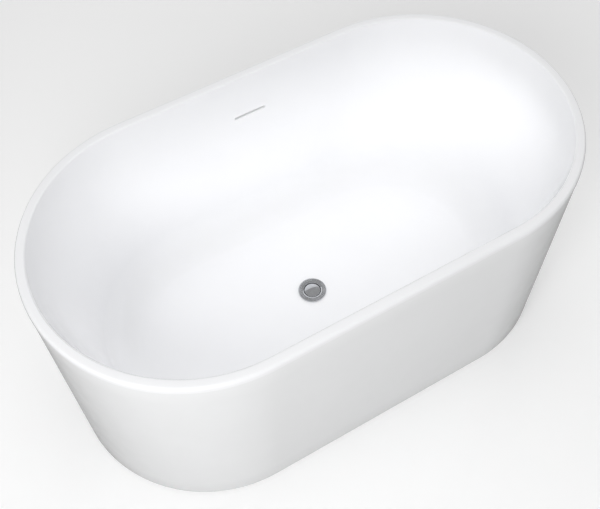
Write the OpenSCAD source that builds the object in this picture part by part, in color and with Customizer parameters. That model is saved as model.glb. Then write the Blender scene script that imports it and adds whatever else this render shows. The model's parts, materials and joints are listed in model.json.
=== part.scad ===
// Freestanding bathtub: a double-wall acrylic tub on a steel cradle with four levelling feet.
// Units are millimetres. +Z is up, X runs along the tub, and the origin is on the floor under
// the middle of the tub. The front long side faces -Y and the overflow is in the back wall, at +Y.

/* [Body] */
// Length over the rim
body_l = 1360; // [1240:10:1700]
// Width over the rim
body_w = 750; // [700:5:820]
// Height from floor to rim
body_h = 600; // [580:5:640]
// Width over the skirt's foot
foot_w = 675; // [650:5:720]
// Width of the rim, seen from above
rim_w = 24; // [20:1:30]
// Height of the rolled outer edge of the rim
rim_roll_h = 17.6; // [14:0.2:20]
// Thickness of an acrylic shell
sheet_t = 4; // [3:0.5:4.5]

/* [Basin] */
// Height of the tub floor at the waste
floor_z = 132; // [125:1:145]
// Rise of the tub floor from the waste to its edge
floor_fall = 8; // [2:1:10]
// Lean of the long walls
wall_lean = 7; // [5:0.5:8]
// Extra inset of each round end at floor level
end_inset = 75; // [40:5:100]
// Radius of the round between wall and floor
cove_r = 90; // [60:5:100]

/* [Waste and overflow] */
// Diameter of the waste flange
flange_d = 73; // [70:1:76]
// Travel of the click stopper
stopper_travel = 9; // [6:0.5:10]
// Length of the overflow slot
slot_l = 85; // [60:1:100]
// Height of the slot's centre above the floor
slot_z = 483; // [460:1:500]
// Offset of the slot along the back wall
slot_x = 25; // [0:1:40]

/* [Cradle and feet] */
// Size of the square steel tube
tube = 30; // [25:1:30]
// Distance of each cross member from the middle
cross_x = 300; // [260:5:300]
// Distance of each long rail from the middle
rail_y = 150; // [130:5:160]
// Distance of each foot from the middle, across the tub
foot_y = 240; // [220:5:250]

/* [Hidden] */

$fn = 96;
eps = 0.5;

// Each foot is [name, side along X, side along Y].
FEET = [
    ["front_left", -1, -1], ["front_right", 1, -1], ["back_left", -1, 1], ["back_right", 1, 1]
];

// Plan outline: a straight run with a round end on each side of it.
half_run = (body_l - body_w) / 2;
rim_r = body_w / 2;
rim_in_r = rim_r - rim_w;
foot_r = foot_w / 2;

// Rim: a flat top, a rolled outer edge and a small round on the inner edge.
roll_w = 6;
roll_drop = 12;
inner_edge_r = 5;
lip_z = body_h - rim_roll_h;

// Stack of the tub floor.
laminate_t = 3.5;
board_t = 16;
board_top = floor_z - sheet_t - laminate_t;
board_bottom = board_top - board_t;
rail_bottom = board_bottom - tube;
cross_bottom = rail_bottom - tube;
tube_wall = 2;

// Skirt.
skirt_bottom = 4;
skirt_flange = 25;
seam = 0.6;
joggle = 5.5;
skirt_top_r = rim_r - 1;
skirt_top = lip_z - seam;
skirt_lean = atan((skirt_top_r - foot_r) / (skirt_top - skirt_bottom));
skirt_laminate_t = 2.5;
glue_t = 1;

// Waste.
tail_r = 23.9;
drain_hole_r = 24.6;
tail_end = floor_z - 40;
seat_r = 22.4;
water_r = 19.5;
inlet_z = 67;

// Neck of the overflow box, which passes through the wall and fills its slot.
neck_l = slot_l + 3;
neck_h = 7.4;
neck_gap = 0.4;

// Overflow hose, in the upright plane that holds the waste's axis.
spigot_r = 8.5;
hose_r = 10;
hose_in_r = 8.6;
hose_bend = 50;

// Feet: M12 rod, nut and pad.
rod_r = 6;
rod_fit = 0.06;

// Clearance holes for M5 and M8 screws.
m5_hole_r = 2.7;
m8_hole_r = 4.2;

// ---- Shape of the basin -------------------------------------------------------------

// Steps around one round end and along one straight run of a ring.
end_steps = 24;
run_steps = 3;

// Place of each point around a ring, as [share of the straight run, angle].
around = concat(
    [for (i = [0 : end_steps - 1]) [1, -90 + 180 * i / end_steps]],
    [for (i = [0 : run_steps - 1]) [1 - 2 * i / run_steps, 90]],
    [for (i = [0 : end_steps - 1]) [-1, 90 + 180 * i / end_steps]],
    [for (i = [0 : run_steps - 1]) [-1 + 2 * i / run_steps, 270]]
);

function wall_r(z) = rim_in_r - (body_h - z) * tan(wall_lean);
cove_z = floor_z + cove_r;
cove_in_r = wall_r(cove_z) - cove_r / cos(wall_lean);

// The straight run gets shorter towards the floor, so the round ends lean back.
function run_at(z) = half_run - end_inset * min(1, max(0, (body_h - z) / (body_h - floor_z)));

// Rise of the floor at a point of the plan, flat around the waste.
flat_share = 0.035;
floor_run = run_at(floor_z) + wall_r(floor_z);
function rise(x, y) =
    floor_fall * min(1, max(0, pow(x / floor_run, 2) + pow(y / wall_r(floor_z), 2) - flat_share));

// How much of the rise a point at height z takes: none at the rim and all of it at the floor.
rise_top = body_h - 30;
function rise_share(z) = min(1, max(0, (rise_top - z) / (rise_top - floor_z)));

// One ring of points at a distance r from a straight run of half length s, at height z.
function ring(r, z, s, lift = 1) = [
    for (a = around)
        let (x = a[0] * s + r * cos(a[1]), y = r * sin(a[1]))
            [x, y, z + lift * rise_share(z) * rise(x, y)]
];

// One ring of the floor, part of the way from the waste to the foot of the cove.
hub_r = 15;
function floor_ring(share, z, lift = 1) = [
    for (p = ring(cove_in_r, z, run_at(floor_z), 0))
        let (
            d = norm([p[0], p[1]]),
            x = p[0] * (share + (1 - share) * hub_r / d),
            y = p[1] * (share + (1 - share) * hub_r / d)
        )
            [x, y, z + lift * rise(x, y)]
];

// The floor's rings, as shares of the way out from the waste.
floor_shares = [0.7, 0.4, 0.15, 0];

// Rings of the wall and the cove, a distance t behind the wetted face.
wall_top = body_h - 20;
function wall_rings(t, z_top, steps = 5) = [
    for (i = [0 : steps])
        let (z = z_top + (cove_z - cove_r * sin(wall_lean) - z_top) * i / (steps + 1))
            ring(wall_r(z) + t / cos(wall_lean), z, run_at(z))
];
function cove_rings(t, steps = 7) = [
    for (i = [0 : steps])
        let (
            a = -wall_lean - (90 - wall_lean) * i / steps,
            z = cove_z + cove_r * sin(a)
        )
            ring(cove_in_r + (cove_r + t) * cos(a), z - t * abs(sin(a)), run_at(z))
];

// Rings over the rim, from the bottom of the lip to the start of the wall.
function roll_rings(t, steps = 5) = [
    for (i = [0 : steps])
        ring(rim_r - roll_w + (roll_w - t) * cos(90 * i / steps),
            body_h - roll_drop + (roll_drop - t) * sin(90 * i / steps), half_run)
];
function edge_rings(t, steps = 3) = [
    for (i = [0 : steps])
        let (
            a = 90 + (90 - wall_lean) * i / steps,
            r = inner_edge_r - t,
            c = rim_in_r - inner_edge_r * tan(wall_lean) + inner_edge_r / cos(wall_lean)
        )
            ring(c + r * cos(a), body_h - inner_edge_r + r * sin(a), half_run)
];

function reversed(list) = [for (i = [len(list) - 1 : -1 : 0]) list[i]];

// A closed skin through a loop of rings. With flip, the loop runs the other way round.
module ring_solid(rings, flip = false) {
    n = len(rings[0]);
    count = len(rings);
    polyhedron(
        points = [for (r = rings) each r],
        faces = [
            for (i = [0 : count - 1])
                for (j = [0 : n - 1])
                    let (
                        a = i * n + j,
                        b = i * n + (j + 1) % n,
                        c = ((i + 1) % count) * n + (j + 1) % n,
                        d = ((i + 1) % count) * n + j
                    )
                        each flip ? [[a, c, b], [a, d, c]] : [[a, b, c], [a, c, d]]
        ]
    );
}

// The through hole of the overflow: a slot along X, cut along Y.
module slot_hole(length, height, y0, y1) {
    translate([slot_x, y0, slot_z]) rotate([-90, 0, 0]) {
        translate([-(length - height) / 2, -height / 2, 0])
            cube([length - height, height, y1 - y0]);
        for (side = [-1, 1])
            translate([side * (length - height) / 2, 0, 0]) cylinder(d = height, h = y1 - y0);
    }
}

// The hole that the neck of the overflow box passes through.
module neck_hole(y0, y1) {
    slot_hole(neck_l + neck_gap, neck_h + neck_gap, y0, y1);
}

module basin() {
    face = concat(
        [ring(rim_r, lip_z, half_run)], roll_rings(0), edge_rings(0),
        wall_rings(0, wall_top), cove_rings(0),
        [for (share = floor_shares) floor_ring(share, floor_z)]
    );
    back = concat(
        [ring(rim_r - sheet_t, lip_z, half_run)], roll_rings(sheet_t), edge_rings(sheet_t),
        wall_rings(sheet_t, wall_top), cove_rings(sheet_t),
        [for (share = floor_shares) floor_ring(share, floor_z - sheet_t)]
    );
    color("white") difference() {
        ring_solid(concat(face, reversed(back)));
        translate([0, 0, floor_z - 10]) cylinder(r = drain_hole_r, h = 20);
        neck_hole(wall_r(slot_z) - 10, wall_r(slot_z) + 7);
    }
}

module basin_laminate() {
    face = concat(
        wall_rings(sheet_t, wall_top), cove_rings(sheet_t),
        [for (share = floor_shares) floor_ring(share, floor_z - sheet_t)]
    );
    back = concat(
        wall_rings(sheet_t + laminate_t, wall_top), cove_rings(sheet_t + laminate_t),
        [for (share = [0.93, 0.4, 0.15, 0]) floor_ring(share, board_top, 0)]
    );
    color("beige") difference() {
        ring_solid(concat(back, reversed(face)), flip = true);
        translate([0, 0, board_top - 5]) cylinder(r = drain_hole_r, h = 20);
        neck_hole(wall_r(slot_z) - 5, wall_r(slot_z) + 15);
    }
}

// ---- Skirt and rim ------------------------------------------------------------------

// Sweeps a section, drawn as distance from the straight run and height, all around the tub.
module around_tub(section) {
    for (turn = [0, 180]) rotate([0, 0, turn]) {
        translate([half_run, 0, 0]) rotate([0, 0, -90]) rotate_extrude(angle = 180, $fn = 180)
            polygon(section);
        rotate([90, 0, 90]) linear_extrude(height = 2 * half_run, center = true)
            polygon(section);
    }
}

function skirt_r(z, t) =
    foot_r + (z - skirt_bottom) * tan(skirt_lean) - t / cos(skirt_lean);

module skirt() {
    color("white") difference() {
        skirt_shell();
        for (x = [-1, 1]) for (y = [-1, 1])
            translate([x * bracket_screw_x, y * bracket_screw_y, skirt_bottom - eps])
                cylinder(r = m5_hole_r, h = sheet_t + 2 * eps, $fn = 24);
    }
}

module skirt_shell() {
    tuck_r = skirt_top_r - joggle;
    flange_top = body_h - sheet_t - glue_t;
    around_tub([
        [foot_r, skirt_bottom],
        [skirt_top_r, skirt_top],
        [tuck_r, skirt_top],
        [tuck_r, flange_top],
        [tuck_r - 10, flange_top],
        [tuck_r - 10, flange_top - sheet_t],
        [tuck_r - sheet_t, flange_top - sheet_t],
        [tuck_r - sheet_t, skirt_top - sheet_t],
        [skirt_r(skirt_top - sheet_t - 1, sheet_t), skirt_top - sheet_t - 1],
        [skirt_r(skirt_bottom + sheet_t, sheet_t), skirt_bottom + sheet_t],
        [foot_r - skirt_flange, skirt_bottom + sheet_t],
        [foot_r - skirt_flange, skirt_bottom]
    ]);
}

module skirt_laminate() {
    low = skirt_bottom + sheet_t + 2;
    high = skirt_top - 15;
    back = sheet_t + skirt_laminate_t;
    color("beige") around_tub([
        [skirt_r(low, sheet_t), low],
        [skirt_r(high, sheet_t), high],
        [skirt_r(high, back), high],
        [skirt_r(low, back), low]
    ]);
}

module rim_adhesive() {
    low = body_h - sheet_t - glue_t;
    outer = skirt_top_r - joggle;
    color("gainsboro") around_tub([
        [outer - 9, low], [outer - 1, low], [outer - 1, low + glue_t], [outer - 9, low + glue_t]
    ]);
}

// ---- Cradle -------------------------------------------------------------------------

module base_board() {
    run = 230;
    r = 190;
    color("burlywood") translate([0, 0, board_bottom]) difference() {
        union() {
            translate([-run, -r, 0]) cube([2 * run, 2 * r, board_t]);
            for (side = [-1, 1]) translate([side * run, 0, 0]) cylinder(r = r, h = board_t);
        }
        translate([0, 0, -eps]) cylinder(r = 60, h = board_t + 2 * eps);
        for (p = board_screw_spots()) translate([p[0], p[1], -eps])
            cylinder(r = 2, h = 12 + eps, $fn = 24);
    }
}

// A square tube along X, centred on the origin's X and Y, standing on z = 0.
module square_tube(length) {
    translate([-length / 2, -tube / 2, 0]) difference() {
        cube([length, tube, tube]);
        translate([-eps, tube_wall, tube_wall])
            cube([length + 2 * eps, tube - 2 * tube_wall, tube - 2 * tube_wall]);
    }
}

rail_l = 800;
cross_l = 570;
function board_screw_spots() = [
    for (x = [-240, -90, 90, 240]) for (side = [-1, 1]) [x, side * rail_y]
];

module frame_rail(side) {
    color("dimgray") difference() {
        translate([0, side * rail_y, rail_bottom]) square_tube(rail_l);
        for (p = board_screw_spots())
            translate([p[0], p[1], rail_bottom - eps]) cylinder(r = m5_hole_r, h = tube + 1, $fn = 24);
        for (end = [-1, 1])
            translate([end * cross_x, side * rail_y, rail_bottom - eps])
                cylinder(r = m8_hole_r, h = tube_wall + 1, $fn = 24);
    }
}

module frame_cross(side) {
    color("dimgray") difference() {
        translate([side * cross_x, 0, cross_bottom]) rotate([0, 0, 90]) square_tube(cross_l);
        for (end = [-1, 1]) {
            translate([side * cross_x, end * foot_y, cross_bottom - eps])
                cylinder(r = rod_r + 0.5, h = tube + 1);
            translate([side * cross_x, end * rail_y, cross_bottom - eps])
                cylinder(r = m8_hole_r, h = tube + 1, $fn = 24);
            for (z = bracket_bolt_z)
                translate([side * cross_x - tube, end * bracket_bolt_y, z]) rotate([0, 90, 0])
                    cylinder(r = m5_hole_r, h = 2 * tube, $fn = 24);
        }
    }
}

// A screw pointing up, with its head's top face at z = 0.
module screw(head_r, head_h, shank_r, length) {
    translate([0, 0, -head_h]) difference() {
        cylinder(r = head_r, h = head_h, $fn = 32);
        translate([0, 0, -eps]) cylinder(r = head_r * 0.5, h = head_h * 0.5 + eps, $fn = 6);
    }
    translate([0, 0, -eps]) cylinder(r = shank_r, h = length + eps, $fn = 24);
}

module board_screws() {
    color("silver") for (p = board_screw_spots())
        translate([p[0], p[1], rail_bottom]) screw(5.5, 3, 2, tube + 11);
}

module frame_bolts() {
    color("silver") for (x = [-cross_x, cross_x]) for (y = [-rail_y, rail_y])
        translate([x, y, cross_bottom]) screw(6.5, 5, 4, tube + 8);
}

bracket_t = 3;
bracket_w = 16;
bracket_out = cross_l / 2 + 43;
bracket_screw_x = cross_x + tube / 2 - 10;
bracket_screw_y = cross_l / 2 + 34;
bracket_bolt_y = cross_l / 2 - 8;
bracket_bolt_z = [cross_bottom + 0.3 * tube, cross_bottom + 0.7 * tube];

module skirt_brackets() {
    low = skirt_bottom + sheet_t;
    plate = 26;
    in = cross_l / 2 - bracket_w;
    color("silver") for (x = [-1, 1]) for (y = [-1, 1])
        translate([x * cross_x, 0, 0]) scale([x, y, 1]) difference() {
            union() {
                translate([tube / 2, in, low])
                    cube([bracket_t, bracket_w, cross_bottom + tube - low]);
                translate([tube / 2 - plate + bracket_t, in, low])
                    cube([plate, bracket_out - in, bracket_t]);
            }
            for (z = bracket_bolt_z)
                translate([0, bracket_bolt_y, z]) rotate([0, 90, 0])
                    cylinder(r = m5_hole_r, h = tube, $fn = 24);
            translate([bracket_screw_x - cross_x, bracket_screw_y, 0])
                cylinder(r = m5_hole_r, h = 20, $fn = 24);
        }
}

module bracket_bolts() {
    color("silver") for (x = [-1, 1]) for (y = [-1, 1]) for (z = bracket_bolt_z)
        translate([x * (cross_x + tube / 2 + bracket_t), y * bracket_bolt_y, z])
            rotate([0, -x * 90, 0])
            screw(4.5, 3, 2.5, bracket_t + tube_wall + 6);
}

module bracket_screws() {
    top = skirt_bottom + sheet_t + bracket_t;
    color("silver") for (x = [-1, 1]) for (y = [-1, 1])
        translate([x * bracket_screw_x, y * bracket_screw_y, top])
            rotate([180, 0, 0]) screw(4.5, 3, 2.5, bracket_t + sheet_t - 0.6);
}

// ---- Feet ---------------------------------------------------------------------------

// Across flats and height of an M12 nut.
nut_af = 18;
nut_h = 10;
module hex_nut(hole_r) {
    difference() {
        cylinder(r = nut_af / 2 / cos(30), h = nut_h, $fn = 6);
        translate([0, 0, -eps]) cylinder(r = hole_r, h = nut_h + 2 * eps);
    }
}

module foot_nuts() {
    color("silver") for (f = FEET)
        translate([f[1] * cross_x, f[2] * foot_y, cross_bottom + tube]) hex_nut(rod_r + rod_fit);
}

module foot_jam_nuts() {
    color("silver") for (f = FEET)
        translate([f[1] * cross_x, f[2] * foot_y, cross_bottom - nut_h]) hex_nut(rod_r + rod_fit);
}

pad_top = 20;
socket_floor = 8;
ball_r = 5;
rod_top = cross_bottom + tube + nut_h + 10;

// The rod's ball neck stands in the pad's socket, under a hexagon for a spanner.
module foot_rod(f) {
    color("silver") translate([f[1] * cross_x, f[2] * foot_y, 0]) {
        translate([0, 0, socket_floor + 0.2]) cylinder(r = ball_r, h = pad_top - socket_floor);
        translate([0, 0, pad_top + 0.2]) cylinder(r = 8.1, h = 5, $fn = 6);
        translate([0, 0, pad_top + 5]) cylinder(r = rod_r, h = rod_top - pad_top - 5);
    }
}

module foot_pad(f) {
    color("black") translate([f[1] * cross_x, f[2] * foot_y, 0]) rotate_extrude()
        polygon([
            [0, 0], [24, 0], [25, 1.5], [25, 5], [23.5, 7], [12, 11], [10, 14],
            [10, pad_top], [ball_r + rod_fit, pad_top], [ball_r + rod_fit, socket_floor],
            [0, socket_floor]
        ]);
}

// ---- Waste --------------------------------------------------------------------------

gasket_t = 1;
washer_t = 4;
drain_nut_t = 10;
flange_h = 3.2;
cross_low = tail_end + 6;
cross_high = cross_low + 5;
hub_bore = 4.05;

module drain_flange() {
    r = flange_d / 2;
    base = floor_z + gasket_t;
    top = base + flange_h;
    color("silver") {
        rotate_extrude() polygon([
            [tail_r, tail_end], [tail_r, base], [r - 0.3, base], [r, base + 0.6],
            [r - 0.4, base + 1.8], [r - 1.3, base + 2.8], [r - 2.6, top],
            [seat_r + 1.6, top], [seat_r, base + 1.8], [seat_r, floor_z - 3],
            [water_r, floor_z - 3], [water_r, tail_end]
        ]);
        difference() {
            for (turn = [0, 90]) rotate([0, 0, turn])
                translate([-water_r - 1, -1.5, cross_low])
                    cube([2 * water_r + 2, 3, cross_high - cross_low]);
            translate([0, 0, cross_low - eps]) cylinder(r = 6, h = 6);
        }
        translate([0, 0, cross_low]) difference() {
            cylinder(r = 6.5, h = cross_high - cross_low);
            translate([0, 0, -eps]) cylinder(r = hub_bore, h = 6);
        }
    }
}

module washer_ring(r_out, r_in, z, t) {
    translate([0, 0, z]) difference() {
        cylinder(r = r_out, h = t);
        translate([0, 0, -eps]) cylinder(r = r_in, h = t + 2 * eps);
    }
}

module drain_gasket() {
    color("dimgray") washer_ring(flange_d / 2 - 1.5, tail_r + 0.3, floor_z, gasket_t);
}

module drain_washer() {
    color("black") washer_ring(36, tail_r + 0.2, board_top - washer_t, washer_t);
}

module drain_nut() {
    lug = 6;
    z = board_top - washer_t - drain_nut_t;
    color("white") translate([0, 0, z]) difference() {
        union() {
            cylinder(r = 33, h = drain_nut_t);
            for (i = [0 : 5]) rotate([0, 0, 60 * i])
                translate([30, -lug / 2, 0]) cube([8, lug, drain_nut_t]);
        }
        translate([0, 0, -eps]) cylinder(r = tail_r + 0.1, h = drain_nut_t + 1);
    }
}

tail_pipe_r = 20;
tail_pipe_wall = 2.5;
tail_pipe_low = 10;
body_r = 29;
body_low = 56;
body_wall = 3;
module drain_body() {
    top = board_top - washer_t - drain_nut_t - 1;
    reach = 62;
    color("white") difference() {
        union() {
            translate([0, 0, body_low]) cylinder(r = body_r, h = top - body_low);
            in_hose_plane() translate([0, 0, inlet_z]) rotate([-90, 0, 0])
                cylinder(r = spigot_r, h = reach);
        }
        translate([0, 0, tail_end]) cylinder(r = tail_r + 0.1, h = top);
        translate([0, 0, body_low - eps]) cylinder(r = tail_pipe_r + 0.05, h = top);
        translate([0, 0, body_low + body_wall])
            cylinder(r = body_r - body_wall, h = tail_end - body_low - 2 * body_wall);
        in_hose_plane() translate([0, 0, inlet_z]) rotate([-90, 0, 0])
            cylinder(r = spigot_r - 2, h = reach + eps);
    }
}

// The straight tail that carries the water down into the floor waste.
module drain_tail() {
    collar_h = 6;
    top = body_low + body_wall;
    color("white") difference() {
        union() {
            translate([0, 0, tail_pipe_low])
                cylinder(r = tail_pipe_r, h = top - tail_pipe_low);
            translate([0, 0, body_low - collar_h]) cylinder(r = tail_pipe_r + 4, h = collar_h);
        }
        translate([0, 0, tail_pipe_low - eps])
            cylinder(r = tail_pipe_r - tail_pipe_wall, h = top);
    }
}

// ---- Click stopper ------------------------------------------------------------------

cap_r = 20.4;
cap_low = floor_z - 0.6;
stem_r = 3;
stem_low = cross_high + 4;
sleeve_r = 5.5;

// The cap is a shallow dome on a short rim.
module stopper_cap() {
    rim_h = 2.2;
    dome_h = 2.2;
    steps = 8;
    color("silver") rotate_extrude() polygon(concat(
        [[0, cap_low], [cap_r - 1, cap_low], [cap_r, cap_low + 1]],
        [for (i = [steps : -1 : 0])
            [cap_r * i / steps, cap_low + rim_h + dome_h * (1 - pow(i / steps, 2))]]
    ));
}

module stopper_seal() {
    color("black") washer_ring(seat_r - 0.8, stem_r + 0.1, floor_z - 2.8, 2.2);
}

module stopper_stem() {
    color("silver") translate([0, 0, stem_low]) cylinder(r = stem_r, h = cap_low - stem_low);
}

module stopper_cartridge() {
    sleeve_h = 2 * stopper_travel;
    color("goldenrod") difference() {
        union() {
            translate([0, 0, cross_high]) cylinder(r = sleeve_r, h = sleeve_h);
            translate([0, 0, cross_low - 3]) cylinder(r = hub_bore - 0.05, h = 9);
        }
        translate([0, 0, cross_high + 2]) cylinder(r = stem_r + 0.06, h = sleeve_h);
    }
}

// ---- Overflow -----------------------------------------------------------------------

back_t = sheet_t + laminate_t;
skirt_back_t = sheet_t + skirt_laminate_t;
box_top = slot_z + 14;
box_low = 345;
box_w = slot_l + 25;
over_gasket_t = 1;

// Distance from the middle of the tub to the laminate's back at height z.
function wall_back(z) = wall_r(z) + back_t / cos(wall_lean);

// The hose's plane is turned from +Y so that it passes through the box's outlet.
function gap_mid(z) = (wall_back(z) + skirt_r(z, skirt_back_t)) / 2;
hose_turn = atan(slot_x / gap_mid(box_low));
hose_top_z = box_low - 2;
hose_top_d = gap_mid(box_low) / cos(hose_turn);
module in_hose_plane() {
    rotate([0, 0, -hose_turn]) children();
}

// A slab of the box's outline, set in from its faces, between two heights.
module box_slab(low, high, inset, width) {
    translate([slot_x - width / 2, 0, 0]) rotate([90, 0, 90]) linear_extrude(height = width)
        polygon([
            [wall_back(low) + over_gasket_t + inset, low],
            [wall_back(high) + over_gasket_t + inset, high],
            [skirt_r(high, skirt_back_t) - 1 - inset, high],
            [skirt_r(low, skirt_back_t) - 1 - inset, low]
        ]);
}

module overflow_box() {
    color("lightgray") difference() {
        union() {
            box_slab(box_low, box_top, 0, box_w);
            slot_hole(neck_l, neck_h, wall_r(slot_z) + 0.8, wall_back(slot_z) + 3);
            down_hose(spigot_r, 24);
        }
        box_slab(box_low + 2, box_top - 2, 2, box_w - 4);
        slot_hole(slot_l, neck_h - 2.4, wall_r(slot_z) - 5, wall_back(slot_z) + 6);
        down_hose(spigot_r - 2, 26);
    }
}

// A round bar along the hose's first straight stretch, from inside the box.
module down_hose(r, reach) {
    in_hose_plane() translate([0, hose_top_d, hose_top_z]) rotate([-skirt_lean, 0, 0])
        translate([0, 0, -reach]) cylinder(r = r, h = reach + 4);
}

module overflow_gasket() {
    color("black") difference() {
        translate([slot_x - box_w / 2, 0, 0]) rotate([90, 0, 90]) linear_extrude(height = box_w)
            polygon([
                [wall_back(slot_z - 20), slot_z - 20],
                [wall_back(box_top), box_top],
                [wall_back(box_top) + over_gasket_t, box_top],
                [wall_back(slot_z - 20) + over_gasket_t, slot_z - 20]
            ]);
        neck_hole(wall_r(slot_z), wall_back(slot_z) + 10);
    }
}

// The hose's middle line, down beside the skirt, round a bend and level to the waste. Each
// point is [distance from the waste's axis, height, lean of the line from upright].
hose_end_d = 38;
hose_down = (hose_top_z - inlet_z - hose_bend * (1 - sin(skirt_lean))) / cos(skirt_lean);
bend_d = hose_top_d - hose_down * sin(skirt_lean) - hose_bend * cos(skirt_lean);
bend_z = inlet_z + hose_bend;
bend_steps = 10;
hose_line = concat(
    [[hose_top_d, hose_top_z, skirt_lean]],
    [for (i = [0 : bend_steps])
        let (a = skirt_lean + (90 - skirt_lean) * i / bend_steps)
            [bend_d + hose_bend * cos(a), bend_z - hose_bend * sin(a), a]],
    [[hose_end_d, inlet_z, 90]]
);

hose_sides = 24;
function hose_rings(r) = [
    for (p = hose_line) [
        for (i = [0 : hose_sides - 1])
            let (t = 360 * i / hose_sides)
                [r * cos(t), p[0] + r * sin(t) * cos(p[2]), p[1] - r * sin(t) * sin(p[2])]
    ]
];

module overflow_hose() {
    color("whitesmoke") in_hose_plane()
        ring_solid(concat(hose_rings(hose_r), reversed(hose_rings(hose_in_r))));
}

module hose_clamps() {
    color("silver") {
        in_hose_plane() translate([0, hose_top_d, hose_top_z]) rotate([-skirt_lean, 0, 0])
            translate([0, 0, -16]) hose_clamp();
        in_hose_plane() translate([0, 46, inlet_z]) rotate([-90, 0, 0]) hose_clamp();
    }
}

module hose_clamp() {
    width = 8;
    difference() {
        union() {
            cylinder(r = hose_r + 0.8, h = width);
            translate([hose_r - 1, -2.5, 0]) cube([8, 5, width]);
        }
        translate([0, 0, -eps]) cylinder(r = hose_r + 0.02, h = width + 2 * eps);
    }
    translate([hose_r + 5, -7, width / 2]) rotate([-90, 0, 0]) cylinder(r = 2, h = 14, $fn = 24);
}

// ---- Nodes --------------------------------------------------------------------------

basin();
basin_laminate();
skirt();
skirt_laminate();
rim_adhesive();
base_board();
frame_rail(-1);  // frame_rail_front
frame_rail(1);  // frame_rail_back
frame_cross(-1);  // frame_cross_left
frame_cross(1);  // frame_cross_right
board_screws();
frame_bolts();
skirt_brackets();
bracket_screws();
bracket_bolts();
foot_nuts();
foot_jam_nuts();
for (f = FEET) {
    foot_rod(f);
    foot_pad(f);
}
drain_flange();
drain_gasket();
drain_washer();
drain_nut();
drain_body();
drain_tail();
stopper_cap();
stopper_seal();
stopper_stem();
stopper_cartridge();
overflow_box();
overflow_gasket();
overflow_hose();
hose_clamps();
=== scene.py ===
"""The looks of the freestanding bathtub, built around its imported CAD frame. Units are metres."""
import json
import math

import bmesh
import bpy
import numpy as np
from mathutils import Matrix, Vector, noise


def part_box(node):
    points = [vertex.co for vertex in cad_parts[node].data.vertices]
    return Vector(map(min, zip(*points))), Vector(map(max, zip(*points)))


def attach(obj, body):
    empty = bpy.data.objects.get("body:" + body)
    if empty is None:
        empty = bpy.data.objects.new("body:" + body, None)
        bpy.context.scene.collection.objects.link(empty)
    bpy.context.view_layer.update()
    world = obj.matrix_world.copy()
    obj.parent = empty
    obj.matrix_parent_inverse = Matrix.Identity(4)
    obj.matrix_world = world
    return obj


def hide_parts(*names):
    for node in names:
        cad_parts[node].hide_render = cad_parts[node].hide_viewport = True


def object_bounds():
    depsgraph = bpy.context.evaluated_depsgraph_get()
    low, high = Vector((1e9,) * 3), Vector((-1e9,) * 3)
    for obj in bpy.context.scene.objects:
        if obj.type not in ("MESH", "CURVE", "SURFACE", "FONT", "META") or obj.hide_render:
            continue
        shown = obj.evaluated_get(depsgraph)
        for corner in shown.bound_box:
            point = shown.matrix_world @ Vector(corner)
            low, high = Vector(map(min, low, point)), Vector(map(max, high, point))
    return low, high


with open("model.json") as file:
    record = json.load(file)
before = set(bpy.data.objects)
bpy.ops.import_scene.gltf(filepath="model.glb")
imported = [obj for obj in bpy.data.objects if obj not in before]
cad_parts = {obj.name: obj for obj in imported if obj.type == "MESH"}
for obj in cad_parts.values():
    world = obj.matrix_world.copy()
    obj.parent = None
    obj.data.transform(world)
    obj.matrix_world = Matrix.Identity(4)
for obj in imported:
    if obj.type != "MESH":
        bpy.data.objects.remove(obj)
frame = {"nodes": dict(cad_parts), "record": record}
CAD_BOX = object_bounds()
MM = 0.001

# ---- Sizes, in the CAD part's own terms ----------------------------------------------

BODY_L = CAD_BOX[1][0] - CAD_BOX[0][0]
BODY_W = CAD_BOX[1][1] - CAD_BOX[0][1]
BODY_H = CAD_BOX[1][2]
HALF_RUN = (BODY_L - BODY_W) / 2
RIM_R = BODY_W / 2
RIM_W = 24 * MM
ROLL_W = 6 * MM
ROLL_DROP = 12 * MM
EDGE_R = 5 * MM
LIP_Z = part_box("skirt")[0].z + 578.4 * MM
LIP_H = 2 * MM
SHEET_T = 4 * MM
LAMINATE_T = 3.5 * MM
SKIRT_LAMINATE_T = 2.5 * MM
FLOOR_Z = 132 * MM
FLOOR_FALL = 8 * MM
FLAT_SHARE = 0.035
RISE_TOP = BODY_H - 30 * MM
WALL_TOP = BODY_H - 20 * MM
END_INSET = 75 * MM
COVE_R = 90 * MM
WALL_LEAN = math.radians(7)
BOARD_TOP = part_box("base_board")[1].z

# Waste: radii of its hole, its threaded tail, the stopper's seat and the water way.
DRAIN_HOLE_R = 24.6 * MM
TAIL_R = 23.9 * MM
SEAT_R = 22.4 * MM
WATER_R = 19.5 * MM
FLANGE_H = 3.2 * MM

# Overflow slot in the back wall, with the neck that fills it.
SLOT_X = 25 * MM
SLOT_Z = 483 * MM
SLOT_L = 88.4 * MM
SLOT_H = 7.8 * MM

# Screws and threads.
M5_HOLE_R = 2.7 * MM
ROD_R = 6 * MM
ROD_FIT = 0.06 * MM
M12_PITCH = 1.75 * MM
M12_DEPTH = 0.95 * MM
NUT_FLAT = 18 * MM
COLLAR_FLAT = 14 * MM
THREAD_STEPS = 8

TAU = 2 * math.pi
PLY_PITCH = 3.6 * MM
WAVES_PER_METRE = 20 / TAU
WELD = 0.01 * MM


# ---- Mesh helpers ---------------------------------------------------------------------

def add_object(name, mesh, body, slot=None, replaces=()):
    """Puts a mesh in the scene as a piece that rides on a body."""
    piece = bpy.data.objects.new(name, mesh)
    bpy.context.scene.collection.objects.link(piece)
    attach(piece, body)
    if slot:
        piece.data.materials.clear()
        piece.data.materials.append(MATERIALS[slot])
    if replaces:
        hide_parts(*replaces)
    return piece


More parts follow.
